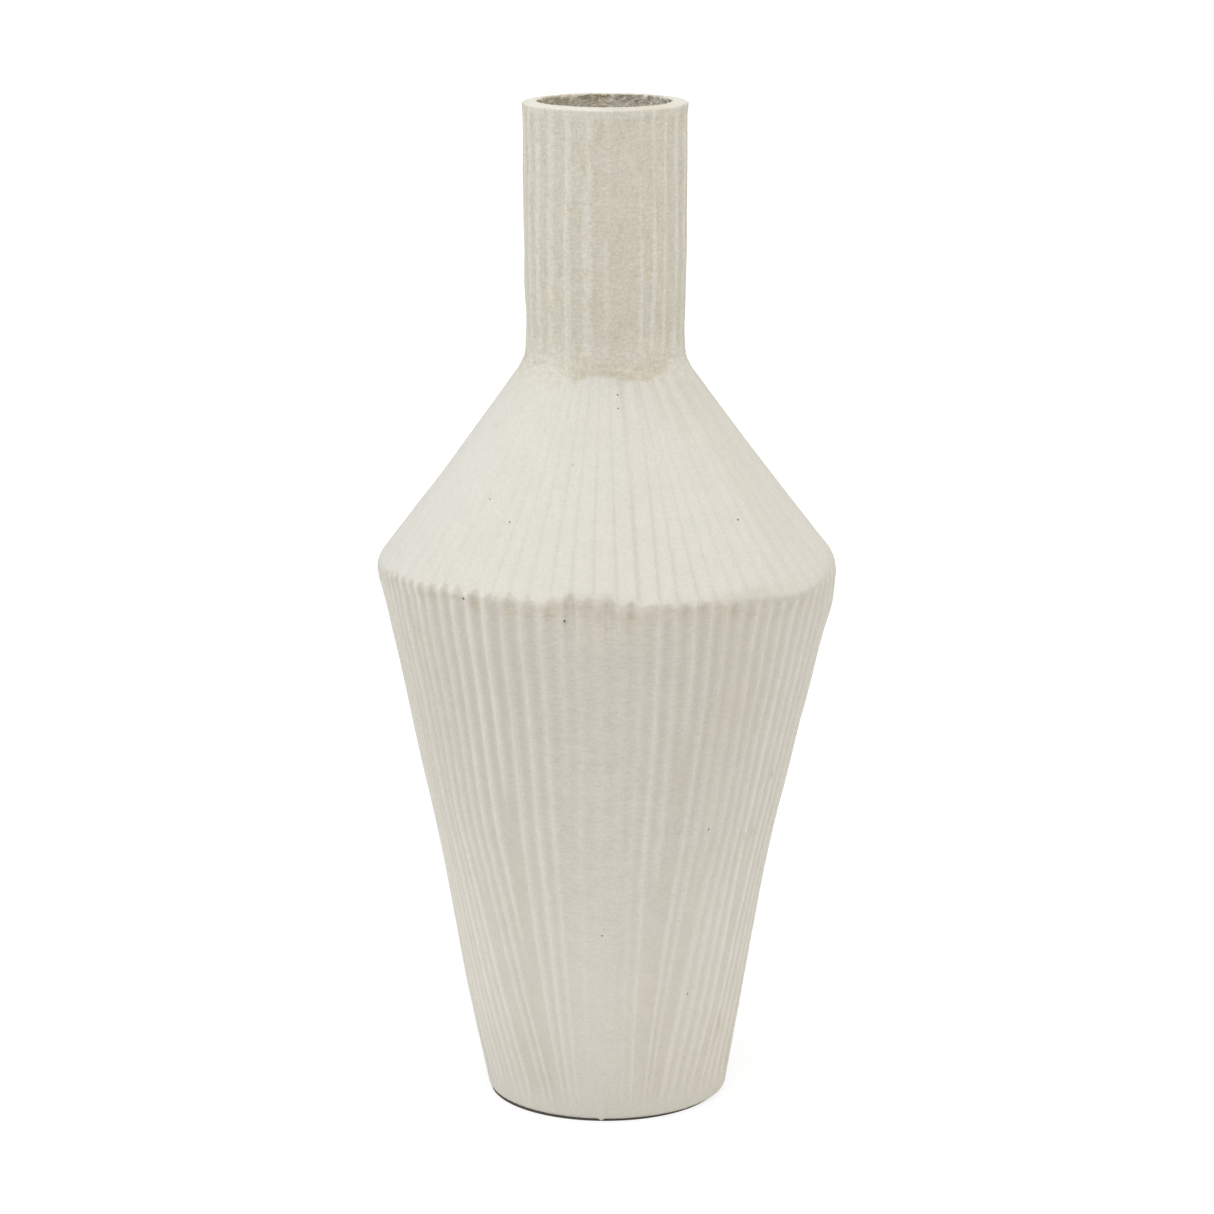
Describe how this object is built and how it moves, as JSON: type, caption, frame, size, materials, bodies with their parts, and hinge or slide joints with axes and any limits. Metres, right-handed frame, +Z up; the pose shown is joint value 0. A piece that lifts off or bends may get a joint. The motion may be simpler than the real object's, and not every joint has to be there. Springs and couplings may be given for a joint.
{
  "type": "ceramic bottle vase",
  "caption": "Matte cream earthenware bud vase, bottle-shaped with a ribbed tube neck, a cone shoulder with a sharp edge and a tapered ribbed body.",
  "frame": {"origin": "centre of the resting face, under the base pad", "axes": "+Z up the vase's axis, out of the mouth; -Y is the front"},
  "size_m": [0.1366, 0.1368, 0.3],
  "materials": {
    "dark_pad": "soft, dark felt",
    "raw_clay": "unglazed, rough, grey-beige",
    "body_clay": "matte cream, hand-scraped thin ribs, sandy grain",
    "shoulder_clay": "matte cream, flat bands, sandy grain",
    "neck_clay": "matte cream, broad rough ribs"
  },
  "bodies": {
    "root": {"base_pad": "dark_pad", "floor_slab": "raw_clay", "body_wall": "body_clay", "shoulder": "shoulder_clay", "neck": "neck_clay"}
  },
  "joints": []
}
